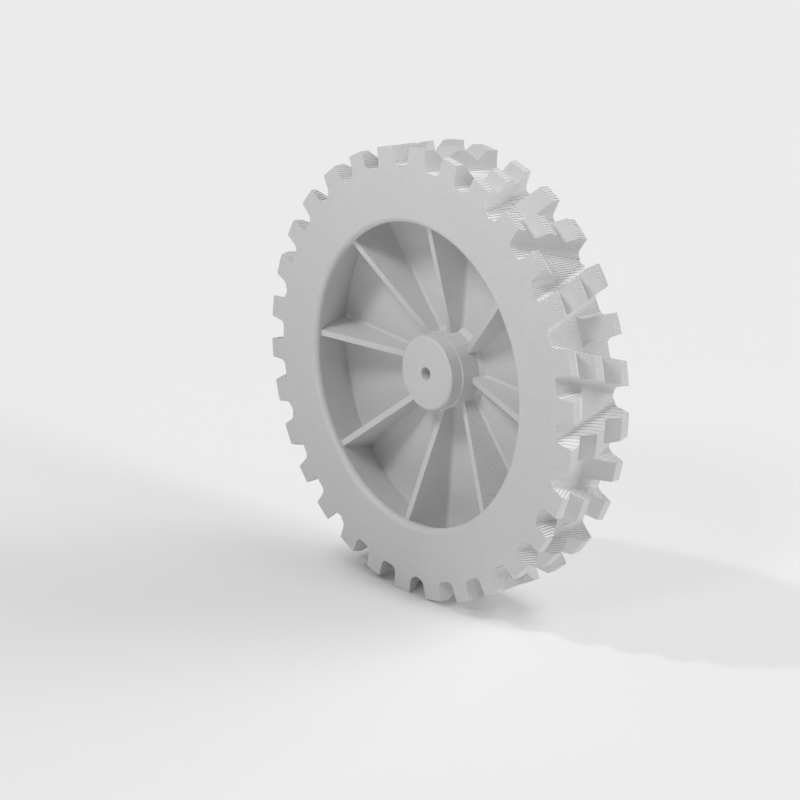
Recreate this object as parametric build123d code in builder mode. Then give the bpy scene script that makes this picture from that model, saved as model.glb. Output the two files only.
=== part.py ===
from build123d import *
from math import radians, tan
import os

# Drive wheel of a robotic mower, printed in one piece.
# It is drawn lying down: the axis is Z, the front face lies at Z 0 and looks up, and depths go down.
# The last block stands it up in the part's own frame: axis along Y, front face towards -Y, centre at 0.

# Tread
outer_radius = 100.0  # over the lug tips
wheel_width = 32.0  # front face to back face
tread_depth = 9.0  # lug tip down to the tread floor
lug_land = 4.0  # flat top of a lug, measured along the axle
chevron_count = 10
chevron_phase = 21.35  # angle of one chevron's centre line, from +X towards +Z
arm_front_angle = 6.05  # from the chevron's centre line to an arm's middle, at the front face
arm_rear_angle = 12.0  # the same at the back face
arm_width = 9.7  # across an arm at the lug tips
bridge_width = 8.9  # across the single lug between two arms, at its tip
lug_draft = 3.0  # lean of each lug side in degrees, so that the foot is wider
lug_foot_round = 2.5  # how far the rounded foot climbs the lug and runs out on the floor

# Rim and web
opening_radius = 66.0  # where the inner wall would meet the front face if their edge were sharp
opening_round = 2.6
rim_wall_lean = 26.0  # degrees by which the inner wall opens out towards the web
web_thickness = 4.0

# Hub
hub_radius = 16.6
hub_setback = 9.5  # hub face behind the front face
hub_edge_chamfer = 0.8
collar_step = 0.6  # the collar's radius less the hub's
collar_setback = 16.2
collar_flare_width = 1.9  # the collar's foot spreads by this much on the web
collar_flare_height = 2.6
bore_diameter = 6.0

# Ribs
rib_count = 8
rib_phase = -5.65
rib_thickness = 2.8
rib_rim_setback = 5.2  # rib edge behind the front face, at the opening
rib_hub_setback = 21.8  # the same at the collar
rib_foot_round = 1.6

# Sizes that follow from the ones above
embed = 2.0  # how far an added piece reaches into what carries it
floor_radius = outer_radius - tread_depth
web_depth = wheel_width - web_thickness
wall_spread = tan(radians(rim_wall_lean))
flare_radius = opening_radius + web_depth * wall_spread
collar_radius = hub_radius + collar_step
gap_length = (wheel_width - 3 * lug_land) / 2
root_radius = floor_radius - embed
chevron_pitch = 360 / chevron_count
overrun = 2.0  # how far a lug blank stands past the tip before it is turned down
foot_sink = 0.3  # a rounded foot ends this far under the surface it stands on, so that the two cross

# Turned body: tread drum, rim, web and hub, from half of its section
with BuildPart() as drum:
    with BuildSketch(Plane.XZ) as half_section:
        with BuildLine():
            Polyline(
                (bore_diameter / 2, -hub_setback),
                (hub_radius, -hub_setback),
                (hub_radius, -collar_setback),
                (collar_radius, -collar_setback),
                (collar_radius, collar_flare_height - web_depth),
                (collar_radius + collar_flare_width, -web_depth),
                (flare_radius, -web_depth),
                (opening_radius, 0),
                (floor_radius, 0),
                (floor_radius, -wheel_width),
                (bore_diameter / 2, -wheel_width),
                close=True,
            )
        make_face()
        fillet(half_section.vertices().sort_by_distance((opening_radius, 0))[0], opening_round)
        chamfer(half_section.vertices().sort_by_distance((hub_radius, -hub_setback))[0], hub_edge_chamfer)
    revolve(axis=Axis.Z)

# One rib along +X: a thin slab whose free edge slopes down to the hub, on a rounded foot
rib_inner = hub_radius - embed
rib_slope = (rib_hub_setback - rib_rim_setback) / (opening_radius - collar_radius)
rib_half = rib_thickness / 2
foot_half = rib_half + rib_foot_round
foot_top = rib_foot_round - web_depth
rib_outer = flare_radius + embed
rib_tip = opening_radius + rib_rim_setback * wall_spread + embed  # the free edge ends in the rim wall


def rib_edge(radius):
    """Height of the rib's free edge at a radius."""
    return (opening_radius - radius) * -rib_slope - rib_rim_setback


with BuildPart() as rib:
    with BuildSketch(Plane.XZ):
        with BuildLine():
            Polyline(
                (rib_inner, rib_edge(rib_inner)),
                (rib_tip, rib_edge(rib_tip)),
                (rib_outer, -web_depth),
                (rib_outer, -web_depth - embed),
                (rib_inner, -web_depth - embed),
                close=True,
            )
        make_face()
    extrude(amount=rib_half, both=True)
    with BuildSketch(Plane.YZ.offset(rib_inner)):
        with BuildLine():
            Line((0, foot_top), (rib_half, foot_top))
            TangentArc((rib_half, foot_top), (foot_half, -web_depth - foot_sink), tangent=(0, -1))
            Line((foot_half, -web_depth - foot_sink), (foot_half, -web_depth - embed))
            Line((foot_half, -web_depth - embed), (0, -web_depth - embed))
            mirror(about=Plane.YZ)
        make_face()
    extrude(amount=rib_outer - rib_inner)


def lug_profile(tip_width, run=(0, 0, 1)):
    """Section, square to its run, of a lug that points along +X: leaning sides, rounded feet, a root."""
    lean = tan(radians(lug_draft))
    blank_half = tip_width / 2 - overrun * lean
    round_start = (floor_radius + lug_foot_round, tip_width / 2 + (tread_depth - lug_foot_round) * lean)
    round_end = (floor_radius - foot_sink, round_start[1] + lug_foot_round)
    with BuildSketch(Plane((0, 0, -wheel_width / 2), x_dir=(1, 0, 0), z_dir=run)) as profile:
        with BuildLine():
            Line((root_radius, 0), (root_radius, round_end[1]))
            Line((root_radius, round_end[1]), round_end)
            TangentArc(round_start, round_end, tangent=(-1, lean))
            Line(round_start, (outer_radius + overrun, blank_half))
            Line((outer_radius + overrun, blank_half), (outer_radius + overrun, 0))
            mirror(about=Plane.XZ)
        make_face()
    return profile.sketch


def turned_outline(*points):
    """Ring section through the (radius, depth) points given."""
    with BuildSketch(Plane.XZ) as outline:
        with BuildLine():
            Polyline(*[(radius, -depth) for radius, depth in points], close=True)
        make_face()
    return outline.sketch


# One chevron arm: a slanting bar from face to face, turned down to three lugs with valleys between
ramp_runout = gap_length * embed / tread_depth  # the ramp goes on below the floor
valley_radius = outer_radius - tread_depth / 2
middle_front = lug_land + gap_length
middle_back = middle_front + lug_land
rear_front = wheel_width - lug_land
arm_middle_angle = (arm_front_angle + arm_rear_angle) / 2
arm_slew = valley_radius * tan(radians(arm_rear_angle - arm_middle_angle))

with BuildPart() as arm:
    half_run = Vector(0, -arm_slew, wheel_width / 2)
    extrude(lug_profile(arm_width, half_run), amount=half_run.length + arm_slew, both=True)
    arm_outline = turned_outline(
        (root_radius, 0),
        (outer_radius, 0),
        (outer_radius, lug_land),
        (valley_radius, lug_land + gap_length / 2),
        (outer_radius, middle_front),
        (outer_radius, middle_back),
        (valley_radius, rear_front - gap_length / 2),
        (outer_radius, rear_front),
        (outer_radius, wheel_width),
        (root_radius, wheel_width),
    )
    revolve(arm_outline, axis=Axis.Z, mode=Mode.INTERSECT)

# The single lug between two arms at the front face, with a ramp down to the tread floor
with BuildPart() as front_bridge:
    extrude(lug_profile(bridge_width), amount=wheel_width / 2, both=True)
    front_outline = turned_outline(
        (root_radius, 0),
        (outer_radius, 0),
        (outer_radius, lug_land),
        (root_radius, middle_front + ramp_runout),
    )
    revolve(front_outline, axis=Axis.Z, mode=Mode.INTERSECT)

# The same at the back face
with BuildPart() as rear_bridge:
    extrude(lug_profile(bridge_width), amount=wheel_width / 2, both=True)
    rear_outline = turned_outline(
        (root_radius, middle_back - ramp_runout),
        (outer_radius, rear_front),
        (outer_radius, wheel_width),
        (root_radius, wheel_width),
    )
    revolve(rear_outline, axis=Axis.Z, mode=Mode.INTERSECT)

# One chevron: two arms that part towards the back face, the single lug between them there,
# and half a pitch further the one at the front face, between this chevron and the next
with BuildPart() as chevron:
    with PolarLocations(0, 1, start_angle=arm_middle_angle):
        add(arm.part)
    mirror(about=Plane.XZ)
    add(rear_bridge.part)
    with PolarLocations(0, 1, start_angle=chevron_pitch / 2):
        add(front_bridge.part)

# The drum, the chevrons and the ribs fused into one solid
with BuildPart() as lying_wheel:
    add(drum.part)
    with PolarLocations(0, chevron_count, start_angle=chevron_phase):
        add(chevron.part)
    with PolarLocations(0, rib_count, start_angle=rib_phase):
        add(rib.part)

# Stood up in the part's own frame
with BuildPart(Plane.XZ.offset(wheel_width / 2)) as wheel:
    add(lying_wheel.part)

wheel.part.label = "wheel"
os.makedirs("parts", exist_ok=True)
export_step(wheel.part, "parts/wheel.step")
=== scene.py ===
from math import cos, pi, radians, sin, tau

import bpy
import numpy as np
from mathutils import Matrix, Vector


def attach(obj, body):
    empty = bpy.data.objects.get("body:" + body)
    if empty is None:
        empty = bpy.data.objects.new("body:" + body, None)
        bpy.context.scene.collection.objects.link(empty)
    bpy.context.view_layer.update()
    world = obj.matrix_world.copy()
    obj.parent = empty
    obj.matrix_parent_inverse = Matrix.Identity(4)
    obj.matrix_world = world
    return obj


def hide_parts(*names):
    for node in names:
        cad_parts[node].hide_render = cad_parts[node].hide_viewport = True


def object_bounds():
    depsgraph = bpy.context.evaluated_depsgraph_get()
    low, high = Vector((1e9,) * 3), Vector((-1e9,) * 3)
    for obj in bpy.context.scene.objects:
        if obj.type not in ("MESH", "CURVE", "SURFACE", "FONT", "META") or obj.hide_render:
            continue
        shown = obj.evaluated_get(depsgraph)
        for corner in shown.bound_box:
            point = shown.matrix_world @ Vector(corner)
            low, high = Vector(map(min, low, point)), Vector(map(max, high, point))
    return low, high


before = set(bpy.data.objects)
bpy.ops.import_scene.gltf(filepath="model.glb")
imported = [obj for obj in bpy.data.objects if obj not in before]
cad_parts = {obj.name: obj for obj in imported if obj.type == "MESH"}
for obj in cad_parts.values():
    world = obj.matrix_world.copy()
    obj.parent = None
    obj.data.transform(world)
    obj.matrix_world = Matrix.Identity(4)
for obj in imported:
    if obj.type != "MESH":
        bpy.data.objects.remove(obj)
cad_low, cad_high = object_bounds()


# The wheel is one matte grey print: lugged tread, rim, web, ribs and hub together. It was printed
# standing up, so its layers are level planes, and every slope is a flight of fine steps. Walls that
# stand square to the axle, such as the front face and the web, stay flat and only look grained.
class Term:
    """A value inside a material: a socket that can be used in Python expressions."""

    def __init__(self, tree, socket=None):
        self.tree = tree
        self.socket = socket

    def make(self, kind, settings=(), output=0, **inputs):
        """Adds a node of a type with its settings, feeds its sockets, and gives one output as a Term."""
        node = self.tree.nodes.new(kind)
        for name, value in dict(settings).items():
            setattr(node, name, value)
        for name, value in inputs.items():
            key = int(name[1:]) if name[1:].isdigit() else name.replace("_", " ")
            if isinstance(value, Term):
                self.tree.links.new(value.socket, node.inputs[key])
            else:
                node.inputs[key].default_value = value
        return Term(self.tree, node.outputs[output])

    def maths(self, operation, *values):
        """One maths node over the values given, or over this value where none is given."""
        feeds = {f"s{i}": value for i, value in enumerate(values or (self,))}
        return self.make("ShaderNodeMath", {"operation": operation}, **feeds)

    def __add__(self, other):
        return self.maths("ADD", self, other)

    def __radd__(self, other):
        return self.maths("ADD", other, self)

    def __sub__(self, other):
        return self.maths("SUBTRACT", self, other)

    def __rsub__(self, other):
        return self.maths("SUBTRACT", other, self)

    def __mul__(self, other):
        return self.maths("MULTIPLY", self, other)

    def __rmul__(self, other):
        return self.maths("MULTIPLY", other, self)

    def __truediv__(self, other):
        return self.maths("DIVIDE", self, other)

    def __pow__(self, other):
        return self.maths("POWER", self, other)

    def step(self, low, high):
        """A smooth rise from 0 at low to 1 at high."""
        return self.make("ShaderNodeMapRange", {"interpolation_type": "SMOOTHSTEP"},
                         Value=self, From_Min=low, From_Max=high)

    def part(self, letter):
        """One component of a vector."""
        return self.make("ShaderNodeSeparateXYZ", output="XYZ".index(letter), Vector=self)


def emptied(holder, output_kind):
    """Clears the nodes of a material or world. Gives a Term to start from and its output's surface."""
    holder.use_nodes = True
    tree = holder.node_tree
    tree.nodes.clear()
    return Term(tree), tree.nodes.new(output_kind).inputs["Surface"]


def printed_grey():
    """Matte grey print. Surfaces that run round the axle show the layers: on a slope the normal switches
    between a level tread and an upright riser once per layer height, with the square of the normal's Z
    as the tread's share, and it swings a little up and down over each layer's rounded edge."""
    grey = (0.70, 0.70, 0.70)
    roughness = 0.62
    layer_height = 0.00077
    line_width = 0.0008
    line_slant = radians(29)
    material = bpy.data.materials.new("printed_grey")
    start, surface = emptied(material, "ShaderNodeOutputMaterial")
    place = start.make("ShaderNodeTexCoord", output="Object")
    facing = start.make("ShaderNodeNewGeometry", output="Normal")

    # Faces that look along the axle stay flat, those that run round it are layered. The limits are
    # sizes of the normal's Y.
    layered_below, flat_above = 0.30, 0.62
    layered = 1.0 - facing.part("Y").maths("ABSOLUTE").step(layered_below, flat_above)

    # The steps are deeper on the tread than on the ribs and the hub. The limits are radii.
    rim_radius, tread_radius = 0.078, 0.086
    outside = ((place.part("X") ** 2.0 + place.part("Z") ** 2.0) ** 0.5).step(rim_radius, tread_radius)

    def by_place(inner, outer):
        """One value on the ribs and the hub, another on the tread, and a smooth change between them."""
        return inner + outside * (outer - inner)

    # Where in its layer a point lies, each layer a little uneven in height
    unevenness = 0.06
    wander = start.make("ShaderNodeTexNoise", Vector=place, Scale=90.0, Detail=2.0)
    height = place.part("Z") / layer_height + (wander - 0.5) * unevenness
    saw = height - height.maths("FLOOR")
    off_middle = (saw - 0.5).maths("ABSOLUTE") * 2.0

    # Level ground shows no layers, overhangs show them faintly, and upright walls have risers only
    nearly_level = (0.955, 0.985)
    overhanging = (0.05, 0.45)
    overhang_loss = 0.65
    nearly_upright = (0.006, 0.03)
    edge_blur = 0.10
    rise = facing.part("Z")
    tread_share = rise * rise
    lined = layered * (1.0 - tread_share.step(*nearly_level))
    lined = lined * (1.0 - (0.0 - rise).step(*overhanging) * overhang_loss)
    level_part = 1.0 - (off_middle - tread_share).step(-edge_blur, edge_blur)
    slope = lined * tread_share.step(*nearly_upright) * by_place(0.5, 1.0)
    riser = 1.0 - level_part * slope
    stepped = start.make("ShaderNodeCombineXYZ", X=facing.part("X") * riser, Y=facing.part("Y") * riser,
                         Z=rise * (1.0 - slope * riser))
    stepped = start.make("ShaderNodeVectorMath", {"operation": "NORMALIZE"}, s0=stepped)

    # The bead's roundness, and the faint slanting lines of the flat faces
    line_depth = 0.16
    bead = (saw * tau).maths("SINE") * lined * by_place(0.07, 0.22)
    across = (place.part("Z") * (cos(line_slant) / line_width)
              - place.part("X") * (sin(line_slant) / line_width))
    line = (across * tau).maths("SINE") * (1.0 - layered) * line_depth
    swing = start.make("ShaderNodeCombineXYZ", X=line * -sin(line_slant), Y=0.0,
                       Z=bead + line * cos(line_slant))
    rounded = start.make("ShaderNodeVectorMath", {"operation": "ADD"}, s0=stepped, s1=swing)
    rounded = start.make("ShaderNodeVectorMath", {"operation": "NORMALIZE"}, s0=rounded)

    # Grain all over and faint blotches. Where the layers show, the level tread of each step has a painted
    # highlight and the grooves between layers have painted shade
    line_tint, grain_tint, blotch_tint, groove_shade_tint = 0.30, 0.20, 0.06, 0.08
    groove_shade_edge = 0.6
    grain_gloss = 0.2
    grain = start.make("ShaderNodeTexNoise", Vector=place, Scale=1700.0, Detail=3.0, Roughness=0.65)
    blotch = start.make("ShaderNodeTexNoise", Vector=place, Scale=45.0, Detail=3.0)
    relief = start.make("ShaderNodeBump", Strength=0.20, Distance=0.0002, Height=grain, Normal=rounded)
    tint = 1.0 + line * line_tint + (grain - 0.5) * grain_tint + (blotch - 0.5) * blotch_tint
    # Painted shade: the grooves between the layer beads are darkened, as occlusion would darken them
    painted_groove_shade = 1.0 - off_middle.step(groove_shade_edge, 1.0) * lined * groove_shade_tint
    # Painted light: the level tread of each layer step is made paler, as light from above would make it, more
    # on the tread than on the ribs and hub
    painted_tread_light = 1.0 + level_part * lined * by_place(0.06, 0.36)
    colour = start.make("ShaderNodeVectorMath", {"operation": "SCALE"}, s0=grey,
                        Scale=tint * painted_groove_shade * painted_tread_light)
    plastic = start.make("ShaderNodeBsdfPrincipled", Base_Color=colour, Normal=relief,
                         Roughness=roughness + (grain - 0.5) * grain_gloss, Specular_IOR_Level=0.35)
    start.tree.links.new(plastic.socket, surface)
    return material


def print_of(node, name, edge_angle):
    """The printed body: the CAD surface with its corner points merged where they lie within a tenth of
    a micrometre, smooth over its curves and crisp over every edge that turns by more than edge_angle
    degrees."""
    merge_digits = 7
    mesh = node.data.copy()
    mesh.name = name
    body = bpy.data.objects.new(name, mesh)
    bpy.context.scene.collection.objects.link(body)
    points = np.empty(len(mesh.vertices) * 3)
    mesh.vertices.foreach_get("co", points)
    corners = np.empty(len(mesh.loops), int)
    mesh.loops.foreach_get("vertex_index", corners)
    points = points.reshape(-1, 3)
    rounded = np.round(points, merge_digits)
    first, where = np.unique(rounded, axis=0, return_index=True, return_inverse=True)[1:]
    faces = where.ravel()[corners].reshape(-1, 3)
    whole = (faces[:, 0] != faces[:, 1]) & (faces[:, 1] != faces[:, 2]) & (faces[:, 2] != faces[:, 0])
    mesh.clear_geometry()
    mesh.from_pydata(points[first].tolist(), [], faces[whole].tolist())
    mesh.update()
    mesh.shade_smooth()
    mesh.set_sharp_from_angle(angle=radians(edge_angle))
    evened = body.modifiers.new("even_shading", "WEIGHTED_NORMAL")
    evened.keep_sharp = True
    evened.weight = 100
    return body


wheel = print_of(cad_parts["wheel"], "wheel_print", 24)
wheel.data.materials.clear()
wheel.data.materials.append(printed_grey())
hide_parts("wheel")
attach(wheel, "root")


# A wide pale studio floor under the lug tips. To the camera a fifth of it is a plain tone, which keeps
# it near the backdrop's, and the rest is lit paper that takes the wheel's shadows. Close under the
# wheel, where little of the sky is open, it has no plain tone and a darker paper is mixed in: painted shade
# that deepens the contact shadow.
floor_tone = 0.832
floor_half = 15.0
paper_share = 0.80
glow_strength = 1.15
contact_share = 0.34
contact_limits = (0.35, 0.80)


def even_grey(tone):
    """A grey as a socket takes it, with red, green and blue all the tone."""
    return (tone, tone, tone, 1)


floor_mesh = bpy.data.meshes.new("studio_floor")
floor_corners = [(x * floor_half, y * floor_half, cad_low.z) for x, y in ((-1, -1), (1, -1), (1, 1), (-1, 1))]
floor_mesh.from_pydata(floor_corners, [], [(0, 1, 2, 3)])
floor = bpy.data.objects.new("studio_floor", floor_mesh)
bpy.context.scene.collection.objects.link(floor)
floor_paper = bpy.data.materials.new("floor_paper")
start, surface = emptied(floor_paper, "ShaderNodeOutputMaterial")
seen = start.make("ShaderNodeLightPath", output="Is Camera Ray")
mirrored = start.make("ShaderNodeLightPath", output="Is Glossy Ray")
open_sky = start.make("ShaderNodeAmbientOcclusion", {"samples": 24}, output=1, Distance=0.035)
open_sky = open_sky.step(*contact_limits)
plain = (seen + mirrored).maths("MINIMUM", seen + mirrored, 1.0) * open_sky * (1.0 - paper_share)
paper = start.make("ShaderNodeBsdfDiffuse", Color=even_grey(0.80))
glow = start.make("ShaderNodeEmission", Color=even_grey(floor_tone), Strength=glow_strength)
# Painted shade: a darker paper, mixed in where little sky is open, deepens the contact shadow under the wheel
painted_contact_shade = start.make("ShaderNodeBsdfDiffuse", Color=even_grey(0.25))
blend = start.make("ShaderNodeMixShader", s0=plain, s1=paper, s2=glow)
blend = start.make("ShaderNodeMixShader", s0=(1.0 - open_sky) * contact_share, s1=blend, s2=painted_contact_shade)
start.tree.links.new(blend.socket, surface)
floor_mesh.materials.append(floor_paper)


# Studio light: a soft box high in front of the wheel and near enough to favour its top, a broad pale
# wall of light behind it on the right, and a fill from above without shadows, which keeps the pockets
# light. The floor has lamps of its own: they widen the wall's shadow and draw the paler ones.
def lamp_at(name, kind, azimuth, elevation, distance, only):
    """A lamp that faces the wheel from a distance along a direction: azimuth from +X towards +Y and
    elevation from the floor, in degrees. It lights all, or only the one piece given."""
    a, e = radians(azimuth), radians(elevation)
    direction = Vector((cos(a) * cos(e), sin(a) * cos(e), sin(e)))
    lamp = bpy.data.objects.new(name, bpy.data.lights.new(name, kind))
    lamp.location = direction * distance
    lamp.rotation_mode = "QUATERNION"
    lamp.rotation_quaternion = direction.to_track_quat("Z", "Y")
    bpy.context.scene.collection.objects.link(lamp)
    if only is not None:
        lit = bpy.data.collections.new(name + "_lights")
        lit.objects.link(only)
        lamp.light_linking.receiver_collection = lit
    return lamp


def far_lamp(name, azimuth, elevation, strength, width, only=None):
    """A distant lamp that looks width degrees across."""
    lamp = lamp_at(name, "SUN", azimuth, elevation, 0.0, only)
    lamp.data.energy = strength
    lamp.data.angle = radians(width)
    return lamp


def soft_box(name, azimuth, elevation, distance, size, strength, only=None):
    """A square panel; strength is its light on a surface turned to it at the wheel, so its power is
    that light times pi times the distance squared."""
    lamp = lamp_at(name, "AREA", azimuth, elevation, distance, only)
    lamp.data.size = size
    lamp.data.energy = strength * pi * distance ** 2
    return lamp


soft_box("front_box", 279, 46, 0.56, 0.13, 1.04, only=wheel)
far_lamp("right_wall", 54, 24, 1.80, 40)
far_lamp("wall_left_end", 10, 12, 1.90, 18, only=floor)
far_lamp("wall_left_middle", 28, 23, 0.50, 26, only=floor)
far_lamp("wall_right_end", 88, 22, 0.48, 24, only=floor)
far_lamp("front_shadow", 279, 38, 0.35, 12, only=floor)
far_lamp("left_shadow", 225, 52, 0.50, 3, only=floor)
fill = far_lamp("fill", 300, 72, 0.95, 90)
fill.data.use_shadow = False

surround = bpy.data.worlds.new("surround")
bpy.context.scene.world = surround
start, surface = emptied(surround, "ShaderNodeOutputWorld")
seen = start.make("ShaderNodeLightPath", output="Is Camera Ray")
ambient = start.make("ShaderNodeBackground", Color=even_grey(1), Strength=0.04)
backdrop = start.make("ShaderNodeBackground", Color=even_grey(floor_tone), Strength=1.0)
blend = start.make("ShaderNodeMixShader", s0=seen, s1=ambient, s2=backdrop)
start.tree.links.new(blend.socket, surface)


# The camera stands in front of the wheel and to its right, a little above it, with a long lens.
# Its place is in metres, and its directions are those of the picture's right, down and depth.
camera_place = (0.595575, -0.522506, 0.211091)
camera_right = Vector((0.643982, 0.765041, 0.0))
camera_down = Vector((0.208370, -0.175398, -0.962194))
camera_forward = Vector((-0.736118, 0.619636, -0.272365))
lens_data = bpy.data.cameras.new("camera")
lens_data.sensor_width = 36.0
lens_data.lens = 83.96
camera = bpy.data.objects.new("camera", lens_data)
bpy.context.scene.collection.objects.link(camera)
turn = Matrix((camera_right, -camera_down, -camera_forward)).transposed()
camera.matrix_world = Matrix.Translation(camera_place) @ turn.to_4x4()
bpy.context.scene.camera = camera

bpy.context.scene.view_settings.view_transform = "Standard"
